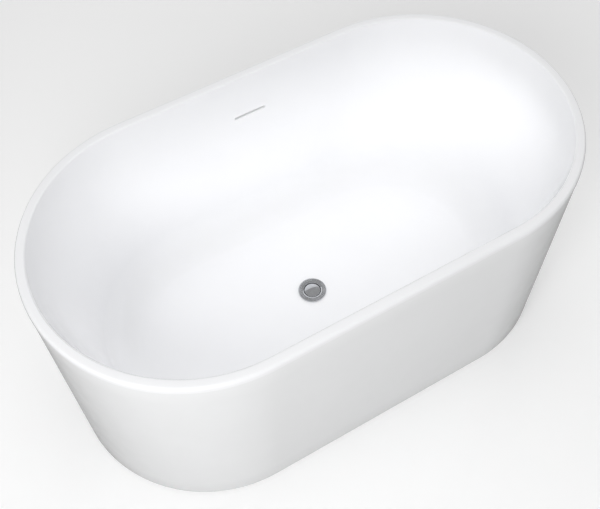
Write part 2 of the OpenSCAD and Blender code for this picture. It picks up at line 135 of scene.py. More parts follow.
def mesh_from(name, points, faces, sharp=35):
    """A smooth-shaded mesh with outward normals and sharp edges past an angle."""
    mesh = bpy.data.meshes.new(name)
    mesh.from_pydata([tuple(p) for p in points], [], faces)
    mesh.validate()
    build = bmesh.new()
    build.from_mesh(mesh)
    bmesh.ops.recalc_face_normals(build, faces=build.faces)
    build.to_mesh(mesh)
    build.free()
    smooth(mesh, sharp)
    return mesh


def smooth(mesh, sharp=35):
    """Shades a mesh smooth, except across edges sharper than an angle in degrees."""
    mesh.polygons.foreach_set("use_smooth", [True] * len(mesh.polygons))
    mesh.set_sharp_from_angle(angle=math.radians(sharp))
    mesh.update()


def loop_skin(name, rings, closed=True, sharp=35):
    """A skin through a list of rings with equal point counts. Closed joins last to first."""
    count = len(rings[0])
    total = len(rings)
    points = np.concatenate([np.asarray(r, float) for r in rings])
    faces = []
    for i in range(total if closed else total - 1):
        below = i * count
        above = ((i + 1) % total) * count
        for j in range(count):
            k = (j + 1) % count
            faces.append((below + j, below + k, above + k, above + j))
    if not closed:
        faces.append(tuple(range(count)))
        faces.append(tuple(range((total - 1) * count, total * count)))
    return mesh_from(name, points, faces, sharp)


def rounded(points, radii, steps=5):
    """A closed outline with each corner rounded. A radius of 0 keeps the corner."""
    result = []
    total = len(points)
    for i, (point, radius) in enumerate(zip(points, radii)):
        here = Vector(point)
        if radius <= 0:
            result.append(tuple(here))
            continue
        back = (Vector(points[i - 1]) - here).normalized()
        on = (Vector(points[(i + 1) % total]) - here).normalized()
        half = max(0.05, back.angle(on) / 2)
        reach = radius / math.tan(half)
        center = here + (back + on).normalized() * radius / math.sin(half)
        start = here + back * reach - center
        end = here + on * reach - center
        for s in range(steps + 1):
            turn = start.lerp(end, s / steps).normalized() * radius
            result.append(tuple(center + turn))
    return result


def thread_depth(turn, height, low, high, pitch):
    """How deep a right-hand screw thread is cut at a place, from 0 to 1."""
    share = (height - low) / pitch - turn / TAU
    groove = abs(2 * (share % 1) - 1) * 1.5 - 0.25
    run_out = min(1, (height - low) / pitch, (high - height) / pitch)
    return min(1, max(0, groove)) * max(0, run_out)


def lathe(name, outline, spins=96, sharp=35, at=(0, 0), solid=False, thread=None):
    """Turns an outline of (radius, height) points about an upright axis.

    The outline is a closed loop, or with solid it is the outer face from one flat end to the
    other. thread is (low, high, pitch, depth), cut in the face that lies outermost there.
    """
    if thread:
        low, high, pitch, depth = thread
        outline = with_thread_steps(outline, low, high, pitch)
    rings = []
    for radius, height, *threaded in outline:
        points = []
        for i in range(spins):
            turn = TAU * i / spins
            r = radius
            if threaded:
                r -= depth * thread_depth(turn, height, low, high, pitch)
            points.append((at[0] + r * math.cos(turn), at[1] + r * math.sin(turn), height))
        rings.append(points)
    return loop_skin(name, rings, closed=not solid, sharp=sharp)


def with_thread_steps(outline, low, high, pitch):
    """The outline with fine steps, marked as threaded, on the stretch from low to high."""
    result = []
    for point, on in zip(outline, outline[1:] + outline[:1]):
        result.append(point)
        if point[0] == on[0] and min(point[1], on[1]) <= low and max(point[1], on[1]) >= high:
            steps = round((high - low) / pitch * THREAD_STEPS)
            heights = [low + (high - low) * i / steps for i in range(steps + 1)]
            if on[1] < point[1]:
                heights.reverse()
            result += [(point[0], z, True) for z in heights]
    return result


def joined(name, *meshes, sharp=35):
    """One mesh made of several."""
    build = bmesh.new()
    for mesh in meshes:
        build.from_mesh(mesh)
    result = bpy.data.meshes.new(name)
    build.to_mesh(result)
    build.free()
    smooth(result, sharp)
    return result


def moved(mesh, matrix):
    """The same mesh, moved."""
    mesh.transform(matrix)
    return mesh


def combine(piece, meshes, operation="DIFFERENCE", sharp=35):
    """Cuts the meshes from a piece, or adds or intersects them, and keeps the result."""
    for mesh in meshes:
        tool = bpy.data.objects.new("tool", mesh)
        bpy.context.scene.collection.objects.link(tool)
        change = piece.modifiers.new("combine", "BOOLEAN")
        change.operation = operation
        change.solver = "EXACT"
        change.object = tool
        apply_modifiers(piece, sharp)
        bpy.data.objects.remove(tool)


def apply_modifiers(piece, sharp=35):
    """Replaces a piece's mesh by what its modifiers make of it."""
    bpy.context.view_layer.update()
    graph = bpy.context.evaluated_depsgraph_get()
    made = bpy.data.meshes.new_from_object(piece.evaluated_get(graph))
    materials = list(piece.data.materials)
    piece.modifiers.clear()
    piece.data = made
    made.materials.clear()
    for material in materials:
        made.materials.append(material)
    smooth(made, sharp)


def refined(node, body, slot, width=0.6 * MM, long_only=None, sharp=35):
    """A copy of a CAD node's mesh with its edges rounded over, which stands for the node."""
    build = bmesh.new()
    build.from_mesh(frame["nodes"][node].data)
    bmesh.ops.remove_doubles(build, verts=build.verts, dist=WELD)
    bmesh.ops.dissolve_limit(
        build, angle_limit=math.radians(1), verts=build.verts, edges=build.edges
    )
    edges = [
        e for e in build.edges
        if len(e.link_faces) == 2 and e.calc_face_angle(0) > math.radians(40)
        and (long_only is None or e.calc_length() > long_only)
    ]
    bmesh.ops.bevel(
        build, geom=edges, offset=width, segments=3, profile=0.5, affect="EDGES",
        clamp_overlap=True
    )
    mesh = bpy.data.meshes.new("fine_" + node)
    build.to_mesh(mesh)
    build.free()
    smooth(mesh, sharp)
    return add_object("fine_" + node, mesh, body, slot, [node])


# ---- Materials ------------------------------------------------------------------------

class Look:
    """A material in the making: one Principled shader and the patterns that feed it.

    Patterns are laid out in the part's own frame, so a scale is in features per metre.
    """

    def __init__(self, name, color, roughness, metallic=0.0, ior=1.5, coat=0.0):
        """Sets the shader's even values and the place that the patterns start from."""
        self.material = bpy.data.materials.new(name)
        self.material.use_nodes = True
        self.tree = self.material.node_tree
        self.shader = self.tree.nodes["Principled BSDF"]
        self.color = color
        self.shader.inputs["Base Color"].default_value = (*color, 1)
        self.shader.inputs["Roughness"].default_value = roughness
        self.shader.inputs["Metallic"].default_value = metallic
        self.shader.inputs["IOR"].default_value = ior
        self.shader.inputs["Coat Weight"].default_value = coat
        self.place = self.tree.nodes.new("ShaderNodeTexCoord").outputs["Object"]

    def link(self, source, target):
        """Joins two sockets."""
        self.tree.links.new(source, target)

    def placed(self, stretch, turn=0):
        """The place in the part's frame, stretched along each axis and turned about Z."""
        mapping = self.tree.nodes.new("ShaderNodeMapping")
        mapping.inputs["Scale"].default_value = stretch
        mapping.inputs["Rotation"].default_value = (0, 0, math.radians(turn))
        self.link(self.place, mapping.inputs["Vector"])
        return mapping.outputs["Vector"]

    def noise(self, scale, detail=2.0, stretch=(1, 1, 1), turn=0, rough=0.5):
        """Cloudy noise. A larger stretch packs it closer along that axis."""
        node = self.tree.nodes.new("ShaderNodeTexNoise")
        node.inputs["Scale"].default_value = scale
        node.inputs["Detail"].default_value = detail
        node.inputs["Roughness"].default_value = rough
        self.link(self.placed(stretch, turn), node.inputs["Vector"])
        return node.outputs["Fac"]

    def cells(self, scale):
        """Small round cells."""
        node = self.tree.nodes.new("ShaderNodeTexVoronoi")
        node.inputs["Scale"].default_value = scale
        self.link(self.placed((1, 1, 1)), node.inputs["Vector"])
        return node.outputs["Distance"]

    def bands(self, scale, distortion=0.0, rings=False):
        """Even bands up the Z axis, or with rings even circles about it."""
        node = self.tree.nodes.new("ShaderNodeTexWave")
        node.wave_type = "RINGS" if rings else "BANDS"
        node.rings_direction = "Z"
        node.bands_direction = "Z"
        node.inputs["Scale"].default_value = scale
        node.inputs["Distortion"].default_value = distortion
        self.link(self.place, node.inputs["Vector"])
        return node.outputs["Fac"]

    def ramp(self, source, *stops):
        """Maps a pattern to values or colours. Each stop is (place, value or colour)."""
        node = self.tree.nodes.new("ShaderNodeValToRGB")
        elements = node.color_ramp.elements
        while len(elements) < len(stops):
            elements.new(0.5)
        for element, (place, value) in zip(elements, stops):
            element.position = place
            color = value if isinstance(value, tuple) else (value,) * 3
            element.color = (*color, 1)
        self.link(source, node.inputs["Fac"])
        return node.outputs["Color"]

    def mixed(self, a, b, how="MULTIPLY"):
        """Two patterns or colours put together."""
        node = self.tree.nodes.new("ShaderNodeMix")
        node.data_type = "RGBA"
        node.blend_type = how
        node.inputs["Factor"].default_value = 1
        self.link(a, node.inputs["A"])
        self.link(b, node.inputs["B"])
        return node.outputs["Result"]

    def tinted(self, source, *stops):
        """Colours the surface by a pattern. Each stop is (place, brightness or colour)."""
        shades = [
            (place, value if isinstance(value, tuple) else tuple(c * value for c in self.color))
            for place, value in stops
        ]
        self.link(self.ramp(source, *shades), self.shader.inputs["Base Color"])
        return self

    def roughened(self, source, *stops):
        """Varies the roughness by a pattern. Each stop is (place, roughness)."""
        self.link(self.ramp(source, *stops), self.shader.inputs["Roughness"])
        return self

    def bumped(self, source, height):
        """Adds relief. height is the pattern's real height in metres."""
        node = self.tree.nodes.new("ShaderNodeBump")
        node.inputs["Distance"].default_value = height
        normal = self.shader.inputs["Normal"]
        if normal.is_linked:
            self.link(normal.links[0].from_socket, node.inputs["Normal"])
        self.link(source, node.inputs["Height"])
        self.link(node.outputs["Normal"], normal)
        return self


def acrylic(name, color):
    """Glossy sanitary acrylic, with the faint waves and haze of a vacuum-formed sheet."""
    look = Look(name, color, 0.16, ior=1.49, coat=0.25)
    look.shader.inputs["Coat Roughness"].default_value = 0.06
    look.tinted(look.noise(7, 3), (0.3, 0.99), (0.7, 1.0))
    look.roughened(look.noise(24, 4), (0.3, 0.13), (0.7, 0.2))
    look.bumped(look.noise(9, 1), 0.35 * MM)
    return look.bumped(look.noise(900, 2), 0.0015 * MM)


def glass_fibre(name, color):
    """Chopped-strand mat in polyester resin: crossing strands and resin-rich patches."""
    look = Look(name, color, 0.5, ior=1.55)
    strands = look.mixed(
        look.noise(55, 3, (1, 9, 4), turn=25), look.noise(60, 3, (8, 1, 5), turn=-20), "LIGHTEN"
    )
    crossed = look.mixed(strands, look.noise(70, 3, (6, 6, 1), turn=60), "LIGHTEN")
    look.tinted(crossed, (0.42, 0.72), (0.55, 0.9), (0.68, 1.1))
    look.roughened(look.noise(30, 3), (0.35, 0.35), (0.65, 0.65))
    return look.bumped(crossed, 0.5 * MM)


def sealant(name, color):
    """Satin adhesive bead, slightly uneven."""
    look = Look(name, color, 0.45)
    look.tinted(look.noise(60, 2), (0.3, 0.95), (0.7, 1.02))
    return look.bumped(look.noise(150, 2), 0.2 * MM)


def plywood(name, color):
    """Birch plywood: long grain on its faces and alternating plies on its edges."""
    look = Look(name, color, 0.6)
    grain = look.ramp(
        look.noise(26, 5, (0.6, 9, 30), rough=0.65),
        (0.3, (0.52, 0.37, 0.22)), (0.5, color), (0.72, (0.78, 0.63, 0.43))
    )
    plies = look.ramp(
        look.bands(1 / (PLY_PITCH * WAVES_PER_METRE)), (0.44, 0.72), (0.56, 1.0)
    )
    look.link(look.mixed(grain, plies), look.shader.inputs["Base Color"])
    look.roughened(look.noise(80, 3, (1, 8, 8)), (0.3, 0.5), (0.7, 0.72))
    return look.bumped(look.noise(120, 4, (0.5, 10, 10)), 0.12 * MM)


def powder_coat(name, color):
    """Satin powder coat with its fine orange peel."""
    look = Look(name, color, 0.42)
    look.tinted(look.noise(18, 4), (0.3, 0.85), (0.7, 1.15))
    look.roughened(look.noise(300, 2), (0.35, 0.36), (0.65, 0.5))
    return look.bumped(look.noise(1400, 2), 0.03 * MM)


def zinc_plate(name, color):
    """Bright zinc plate with its yellow and blue tinge and dull patches."""
    look = Look(name, color, 0.3, metallic=1.0)
    look.tinted(
        look.noise(90, 4), (0.3, (0.55, 0.57, 0.62)), (0.5, color), (0.7, (0.70, 0.68, 0.60))
    )
    look.roughened(look.noise(220, 4), (0.3, 0.22), (0.7, 0.42))
    return look.bumped(look.noise(1800, 2), 0.008 * MM)


def chrome(name, color):
    """Polished chrome, with the fine turning marks left under the plate."""
    look = Look(name, color, 0.08, metallic=1.0)
    look.tinted(look.noise(120, 3), (0.3, 0.94), (0.7, 1.02))
    look.roughened(look.noise(260, 4), (0.3, 0.05), (0.7, 0.13))
    return look.bumped(look.bands(420, 0.4, rings=True), 0.0012 * MM)


def turned_brass(name, color):
    """Brass with the marks of the lathe tool."""
    look = Look(name, color, 0.25, metallic=1.0)
    look.tinted(look.noise(140, 3), (0.3, 0.82), (0.7, 1.05))
    look.roughened(look.bands(700, 0.5), (0.2, 0.2), (0.8, 0.36))
    return look.bumped(look.bands(700, 0.5), 0.01 * MM)


def rubber(name, color):
    """Matte black rubber."""
    look = Look(name, color, 0.7, ior=1.45)
    look.tinted(look.noise(90, 3), (0.3, 0.8), (0.7, 1.3))
    look.roughened(look.noise(200, 3), (0.3, 0.6), (0.7, 0.82))
    return look.bumped(look.noise(1200, 3), 0.02 * MM)


def moulded(name, color):
    """Injection-moulded plastic with a fine spark-eroded grain."""
    look = Look(name, color, 0.42)
    look.tinted(look.noise(25, 3), (0.3, 0.94), (0.7, 1.03))
    look.roughened(look.noise(60, 3), (0.3, 0.35), (0.7, 0.5))
    return look.bumped(look.cells(1100), 0.015 * MM)


MAKERS = {
    "acrylic_white": acrylic,
    # skirt_white is the same acrylic as acrylic_white, with a darker base colour from the record:
    # painted shade on the skirt, which is the basin's white acrylic in the real tub.
    "skirt_white": acrylic,
    "glass_fibre": glass_fibre,
    "adhesive_white": sealant,
    "plywood": plywood,
    "frame_steel": powder_coat,
    "zinc_steel": zinc_plate,
    "drain_chrome": chrome,
    "brass": turned_brass,
    "black_rubber": rubber,
    "foot_plastic": moulded,
    "white_plastic": moulded,
    "grey_plastic": moulded
}
MATERIALS = {
    entry["slot"]: MAKERS[entry["slot"]](entry["slot"], tuple(entry["base_color"])).material
    for entry in frame["record"]["materials"]
}


# ---- Shape of the tub -----------------------------------------------------------------

# Steps around a ring of the tub, and in each part of the basin's section.
END_STEPS = 112
RUN_STEPS = 24
WALL_STEPS = 18
COVE_STEPS = 18
ROLL_STEPS = 10
EDGE_STEPS = 8


def around():
    """Places around a ring, as (share of the straight run, angle)."""
    half = math.pi / 2
    first = [(1, -half + math.pi * i / END_STEPS) for i in range(END_STEPS)]
    top = [(1 - 2 * i / RUN_STEPS, half) for i in range(RUN_STEPS)]
    second = [(-1, half + math.pi * i / END_STEPS) for i in range(END_STEPS)]
    bottom = [(-1 + 2 * i / RUN_STEPS, 3 * half) for i in range(RUN_STEPS)]
    return np.array(first + top + second + bottom)


AROUND = around()


def wall_r(z):
    """Distance of the long wall's wetted face from the middle, at a height."""
    return RIM_R - RIM_W - (BODY_H - z) * math.tan(WALL_LEAN)


def run_at(z):
    """Half the straight run at a height. It gets shorter towards the floor."""
    share = (BODY_H - z) / (BODY_H - FLOOR_Z)
    return HALF_RUN - END_INSET * min(1, max(0, share))


COVE_Z = FLOOR_Z + COVE_R
COVE_IN_R = wall_r(COVE_Z) - COVE_R / math.cos(WALL_LEAN)


def rise(x, y):
    """How far the tub floor has risen at a point of the plan."""
    far_x = run_at(FLOOR_Z) + wall_r(FLOOR_Z)
    far = (x / far_x) ** 2 + (y / wall_r(FLOOR_Z)) ** 2 - FLAT_SHARE
    return FLOOR_FALL * np.clip(far, 0, 1)


def ring(r, z, run, lift=True):
    """One ring of points at a distance r from a straight run, at height z."""
    x = AROUND[:, 0] * run + r * np.cos(AROUND[:, 1])
    y = r * np.sin(AROUND[:, 1])
    share = min(1, max(0, (RISE_TOP - z) / (RISE_TOP - FLOOR_Z))) if lift else 0
    return np.stack([x, y, z + share * rise(x, y)], axis=1)


def floor_ring(share, z, hub, lift=True):
    """One ring of the floor, part of the way from the waste hole to the cove's foot."""
    edge = ring(COVE_IN_R, z, run_at(FLOOR_Z), False)
    far = np.linalg.norm(edge[:, :2], axis=1, keepdims=True)
    flat = edge[:, :2] * (share + (1 - share) * hub / far)
    height = z + (rise(flat[:, 0], flat[:, 1]) if lift else 0 * flat[:, 0])
    return np.column_stack([flat, height])


def wall_rings(t):
    """Rings down the wall, a distance t behind the wetted face."""
    drop = COVE_Z - COVE_R * math.sin(WALL_LEAN) - WALL_TOP
    heights = [WALL_TOP + drop * i / (WALL_STEPS + 1) for i in range(WALL_STEPS + 1)]
    return [ring(wall_r(z) + t / math.cos(WALL_LEAN), z, run_at(z)) for z in heights]


def cove_rings(t):
    """Rings round the cove between wall and floor."""
    rings = []
    for i in range(COVE_STEPS + 1):
        turn = -WALL_LEAN - (math.pi / 2 - WALL_LEAN) * i / COVE_STEPS
        z = COVE_Z + COVE_R * math.sin(turn)
        rings.append(ring(
            COVE_IN_R + (COVE_R + t) * math.cos(turn), z - t * abs(math.sin(turn)), run_at(z)
        ))
    return rings


def roll_rings(t):
    """Rings over the rolled outer edge of the rim, from the lip up to the flat top."""
    turns = [math.pi / 2 * i / ROLL_STEPS for i in range(ROLL_STEPS + 1)]
    return [
        ring(RIM_R - ROLL_W + (ROLL_W - t) * math.cos(a),
             BODY_H - ROLL_DROP + (ROLL_DROP - t) * math.sin(a), HALF_RUN, False)
        for a in turns
    ]


def edge_rings(t):
    """Rings over the small round on the rim's inner edge."""
    center = RIM_R - RIM_W - EDGE_R * math.tan(WALL_LEAN) + EDGE_R / math.cos(WALL_LEAN)
    rings = []
    for i in range(EDGE_STEPS + 1):
        a = math.pi / 2 + (math.pi / 2 - WALL_LEAN) * i / EDGE_STEPS
        rings.append(ring(
            center + (EDGE_R - t) * math.cos(a),
            BODY_H - EDGE_R + (EDGE_R - t) * math.sin(a), HALF_RUN, False
        ))
    return rings


# How far out each ring of the floor lies, from the cove's foot to the waste hole.
FLOOR_SHARES = [0.9, 0.75, 0.6, 0.45, 0.3, 0.18, 0.09, 0.03, 0]


def basin_mesh():
    """The inner shell: rim, walls, cove and floor, as one sheet of even thickness."""
    def side(t):
        """Rings of one face of the sheet, from the lip to the waste hole."""
        lip = [ring(RIM_R - t, LIP_Z + z, HALF_RUN, False) for z in (0, LIP_H)]
        rings = lip + roll_rings(t) + edge_rings(t) + wall_rings(t) + cove_rings(t)
        return rings + [floor_ring(s, FLOOR_Z - t, DRAIN_HOLE_R) for s in FLOOR_SHARES]

    return loop_skin("tub_basin", side(0) + side(SHEET_T)[::-1])


def make_lumpy(points, depth, level, *waves):
    """Moves points outwards unevenly, as on a hand-laid face. A negative depth goes inwards.

    level is the mean move as a share of depth. Each wave is (share of depth, bumps per metre).
    """
    for p in points:
        lump = level + sum(share * noise.noise(Vector(p) * scale) for share, scale in waves)
        outward = Vector((p[0] * 0.3, p[1], 0)).normalized()
        p += np.array(outward) * depth * lump


def laminate_mesh():
    """The glass-fibre backing of the basin, with the slightly lumpy face of hand lay-up."""
    near = wall_rings(SHEET_T) + cove_rings(SHEET_T)
    near += [floor_ring(s, FLOOR_Z - SHEET_T, DRAIN_HOLE_R) for s in FLOOR_SHARES]
    back = wall_rings(SHEET_T + LAMINATE_T) + cove_rings(SHEET_T + LAMINATE_T)
    back += [floor_ring(s, BOARD_TOP, DRAIN_HOLE_R, False) for s in FLOOR_SHARES]
    for points in back[1:-len(FLOOR_SHARES)]:
        make_lumpy(points, -0.7 * MM, 0.5, (0.5, 30), (0.4, 90))
    return loop_skin("tub_laminate", near + back[::-1], sharp=60)


def swept(name, section, sharp=35):
    """Sweeps a closed section of (distance, height) points around the tub."""
    return loop_skin(name, [ring(r, z, HALF_RUN, False) for r, z in section], sharp=sharp)


SEAM = 0.6 * MM
SKIRT_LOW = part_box("skirt")[0].z
SKIRT_TOP = LIP_Z - SEAM
SKIRT_FOOT_R = 337.5 * MM
SKIRT_FLANGE = 25 * MM
JOGGLE = 5.5 * MM
GLUE_FLANGE = 10 * MM
SKIRT_TOP_R = RIM_R - 1 * MM
SKIRT_SLOPE = (SKIRT_TOP_R - SKIRT_FOOT_R) / (SKIRT_TOP - SKIRT_LOW)
SKIRT_LEAN = math.atan(SKIRT_SLOPE)


def skirt_r(z, t=0):
    """Distance of the skirt's face from the straight run at a height, t behind its front."""
    return SKIRT_FOOT_R + (z - SKIRT_LOW) * SKIRT_SLOPE - t / math.cos(SKIRT_LEAN)


def skirt_mesh():
    """The outer shell, with its tuck under the rim and its foot flange."""
    tuck = SKIRT_TOP_R - JOGGLE
    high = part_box("skirt")[1].z
    low = SKIRT_LOW
    mid = SKIRT_TOP - SHEET_T - 1 * MM
    corners = [
        (SKIRT_FOOT_R, low), (SKIRT_TOP_R, SKIRT_TOP), (tuck, SKIRT_TOP), (tuck, high),
        (tuck - GLUE_FLANGE, high), (tuck - GLUE_FLANGE, high - SHEET_T),
        (tuck - SHEET_T, high - SHEET_T), (tuck - SHEET_T, mid + 1 * MM),
        (skirt_r(mid, SHEET_T), mid), (skirt_r(low + SHEET_T, SHEET_T), low + SHEET_T),
        (SKIRT_FOOT_R - SKIRT_FLANGE, low + SHEET_T), (SKIRT_FOOT_R - SKIRT_FLANGE, low)
    ]
    radii = [2.5, 0.8, 0.6, 1, 0.5, 0.5, 0.5, 0.5, 0.5, 2, 0.8, 0.8]
    section = rounded(corners, [r * MM for r in radii])
    return swept("tub_skirt", with_steps(section, 60 * MM))


def with_steps(section, longest):
    """The same closed outline with extra points on its long stretches."""
    result = []
    for i, point in enumerate(section):
        on = section[(i + 1) % len(section)]
        gap = math.dist(point, on)
        parts = max(1, math.ceil(gap / longest))
        for s in range(parts):
            result.append(tuple(Vector(point).lerp(Vector(on), s / parts)))
    return result


def skirt_laminate_mesh():
    """The glass-fibre backing of the skirt."""
    low, high = (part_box("skirt_laminate")[i].z for i in (0, 1))
    back = SHEET_T + SKIRT_LAMINATE_T
    corners = [
        (skirt_r(low, SHEET_T), low), (skirt_r(high, SHEET_T), high),
        (skirt_r(high, back), high), (skirt_r(low, back), low)
    ]
    section = with_steps(rounded(corners, [0, 0, 1 * MM, 1 * MM]), 18 * MM)
    rings = [ring(r, z, HALF_RUN, False) for r, z in section]
    for points, (r, z) in zip(rings, section):
        if r < skirt_r(z, SHEET_T + 1 * MM):
            make_lumpy(points, 0.5 * MM, 0.8, (1, 35), (0.6, 90))
    return loop_skin("skirt_backing", rings, sharp=60)


def slot_cutter(length, height, y0, y1):
    """A bar with round ends along X, cut through the back wall along Y."""
    steps = 12
    outline = []
    for side in (1, -1):
        for i in range(steps + 1):
            turn = math.pi * i / steps - math.pi / 2
            outline.append((
                side * ((length - height) / 2 + height / 2 * math.cos(turn)),
                side * height / 2 * math.sin(turn)
            ))
    rings = [[(SLOT_X + x, y, SLOT_Z + z) for x, z in outline] for y in (y0, y1)]
    return loop_skin("slot", rings, closed=False)


def build_shells():
    """The basin and skirt sheets with their laminate backing."""
    tub = add_object("tub_basin", basin_mesh(), "tub", "acrylic_white", ["basin"])
    backing = add_object(
        "tub_laminate", laminate_mesh(), "tub", "glass_fibre", ["basin_laminate"]
    )
    wall = wall_r(SLOT_Z)
    for piece in (tub, backing):
        combine(piece, [slot_cutter(SLOT_L, SLOT_H, wall - 30 * MM, wall + 20 * MM)])
    # The skirt's material is a darker copy of the basin's acrylic: painted shade on the outer
    # shell.
    skirt = add_object("tub_skirt", skirt_mesh(), "tub", "skirt_white", ["skirt"])
    hole = [(M5_HOLE_R, SKIRT_LOW - 1 * MM), (M5_HOLE_R, SKIRT_LOW + 6 * MM)]
    holes = [lathe("hole", hole, 24, at=head[:2], solid=True) for head in islands("bracket_screws")]
    combine(skirt, holes)
    add_object(
        "skirt_backing", skirt_laminate_mesh(), "tub", "glass_fibre", ["skirt_laminate"]
    )


def islands(node):
    """The middle of each separate solid of a CAD node."""
    build = bmesh.new()
    build.from_mesh(frame["nodes"][node].data)
    bmesh.ops.remove_doubles(build, verts=build.verts, dist=WELD)
    left = set(build.verts)
    middles = []
    while left:
        todo = [left.pop()]
        found = list(todo)
        while todo:
            for edge in todo.pop().link_edges:
                for vert in edge.verts:
                    if vert in left:
                        left.remove(vert)
                        todo.append(vert)
                        found.append(vert)
        low = [min(v.co[i] for v in found) for i in range(3)]
        high = [max(v.co[i] for v in found) for i in range(3)]
        middles.append(tuple((a + b) / 2 for a, b in zip(low, high)))
    build.free()
    return sorted(middles)


# ---- Waste ----------------------------------------------------------------------------

def build_waste():
    """The flange and everything that hangs on it under the tub floor."""
    build_flange()
    build_cross()
    for node, edge in (("drain_gasket", 0.25), ("drain_washer", 0.8)):
        ring_piece(node, TAIL_R + 0.25 * MM, edge * MM, "black_rubber")
    build_drain_nut(TAIL_R + 0.1 * MM)
    refined("drain_body", "tub", "white_plastic", 0.8 * MM)
    refined("drain_tail", "tub", "white_plastic", 0.6 * MM)


def build_flange():
    """The chrome flange: two turned grooves, a shallow seat for the cap and a threaded tail."""
    low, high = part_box("drain_flange")
    base = high.z - FLANGE_H
    flange_r = high.x
    corners = [(TAIL_R, low.z), (TAIL_R, base), (flange_r, base), (flange_r, high.z)]
    radii = [0.6, 0, 0.2, 2.4]
    for groove_r in (flange_r - 4.2 * MM, flange_r - 7.2 * MM):
        corners += [
            (groove_r + 0.45 * MM, high.z), (groove_r, high.z - 0.4 * MM),
            (groove_r - 0.45 * MM, high.z)
        ]
        radii += [0.15, 0.1, 0.15]
    corners += [
        (SEAT_R + 3.4 * MM, high.z), (SEAT_R + 0.4 * MM, high.z - 1.1 * MM),
        (SEAT_R, high.z - 1.9 * MM), (SEAT_R, base - 4 * MM), (WATER_R, base - 4 * MM),
        (WATER_R, low.z)
    ]
    radii += [0.5, 0.4, 0.5, 0.3, 0.5, 0.4]
    outline = rounded(corners, [r * MM for r in radii], steps=4)
    thread = (low.z + 1 * MM, base - 12 * MM, 2.3 * MM, 1.1 * MM)
    add_object(
        "waste_flange", lathe("waste_flange", outline, 128, 50, thread=thread),
        "tub", "drain_chrome", ["drain_flange"]
    )


def build_cross():
    """The strainer cross in the flange: four bars and a hub that holds the cartridge."""
    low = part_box("drain_flange")[0].z + 6 * MM
    high = low + 5 * MM
    hub_r = 6.5 * MM
    bore = 4.05 * MM
    hub = lathe("hub", rounded(
        [(hub_r, low), (hub_r, high), (bore, high), (bore, low)], [0.5 * MM] * 4
    ), 48)
    bars = [
        moved(rounded_bar(hub_r - 0.8 * MM, WATER_R + 0.8 * MM, 1.5 * MM, low, high),
              Matrix.Rotation(TAU * i / 4, 4, "Z"))
        for i in range(4)
    ]
    add_object("waste_cross", joined("waste_cross", hub, *bars), "tub", "drain_chrome")


def rounded_bar(near, far, half_w, low, high):
    """A bar with a rounded top, from near to far along X."""
    section = rounded(
        [(-half_w, low), (half_w, low), (half_w, high), (-half_w, high)],
        [0.4 * MM, 0.4 * MM, 1.2 * MM, 1.2 * MM], 4
    )
    rings = [[(x, y, z) for y, z in section] for x in (near, far)]
    return loop_skin("bar", rings, closed=False)


def ring_piece(node, bore, edge, slot):
    """A flat ring with rounded edges that stands for a CAD washer."""
    low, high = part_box(node)
    r = high.x
    outline = rounded(
        [(bore, low.z), (r, low.z), (r, high.z), (bore, high.z)], [edge] * 4, 4
    )
    add_object("fine_" + node, lathe(node, outline, 96), "tub", slot, [node])


def build_drain_nut(bore):
    """The back nut: a ring with six grip lugs."""
    low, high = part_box("drain_nut")
    nut_r = 33 * MM
    body = lathe("nut", rounded(
        [(bore, low.z), (nut_r, low.z), (nut_r, high.z), (bore, high.z)],
        [1.2 * MM, 1.5 * MM, 1.5 * MM, 1.2 * MM]
    ), 96)
    lug_x = (nut_r - 3 * MM, nut_r + 5 * MM)
    lug_y = (-3 * MM, 3 * MM)
    lugs = [
        moved(rounded_block(lug_x, lug_y, (low.z, high.z), 1.2 * MM),
              Matrix.Rotation(TAU * i / 6, 4, "Z"))
        for i in range(6)
    ]
    nut = add_object("fine_drain_nut", body, "tub", "white_plastic", ["drain_nut"])
    combine(nut, lugs, "UNION")


def rounded_block(xs, ys, zs, edge):
    """A block with all its edges rounded."""
    build = bmesh.new()
    bmesh.ops.create_cube(build, size=1)
    for vert in build.verts:
        vert.co = Vector([
            pair[0] if c < 0 else pair[1] for c, pair in zip(vert.co, (xs, ys, zs))
        ])
    bmesh.ops.bevel(
        build, geom=build.edges[:], offset=edge, segments=3, profile=0.5, affect="EDGES"
    )
    mesh = bpy.data.meshes.new("block")
    build.to_mesh(mesh)
    build.free()
    smooth(mesh)
    return mesh


def build_cap():
    """The chrome cap: a shallow dome on a short upright rim."""
    low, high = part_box("stopper_cap")
    r = high.x
    rim_top = low.z + 2.2 * MM
    shares = [1 - i / 16 for i in range(1, 16)]
    dome = [(r * share, rim_top + (high.z - rim_top) * (1 - share ** 2)) for share in shares]
    edge = rounded(
        [(2 * MM, low.z), (r - 1 * MM, low.z), (r, low.z + 0.9 * MM), (r, rim_top), dome[0]],
        [0, 0.4 * MM, 0.4 * MM, 0.6 * MM, 0]
    )
    add_object(
        "click_cap", lathe("click_cap", edge + dome[1:], 128, solid=True),
        "stopper", "drain_chrome", ["stopper_cap"]
    )


def build_seal():
    """The rubber seal under the cap, with a thin lip at its edge."""
    low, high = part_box("stopper_seal")
    r = high.x
    bore = 3.1 * MM
    corners = [
        (bore, low.z), (r - 3 * MM, low.z), (r - 1.6 * MM, low.z + 0.5 * MM),
        (r, low.z + 0.2 * MM), (r, low.z + 0.9 * MM), (r - 1.2 * MM, high.z), (bore, high.z)
    ]
    radii = [0.1, 0.4, 0.4, 0.3, 0.3, 0.4, 0.1]
    outline = rounded(corners, [radius * MM for radius in radii])
    add_object(
        "click_seal", lathe("click_seal", outline, 96), "stopper", "black_rubber",
        ["stopper_seal"]
    )


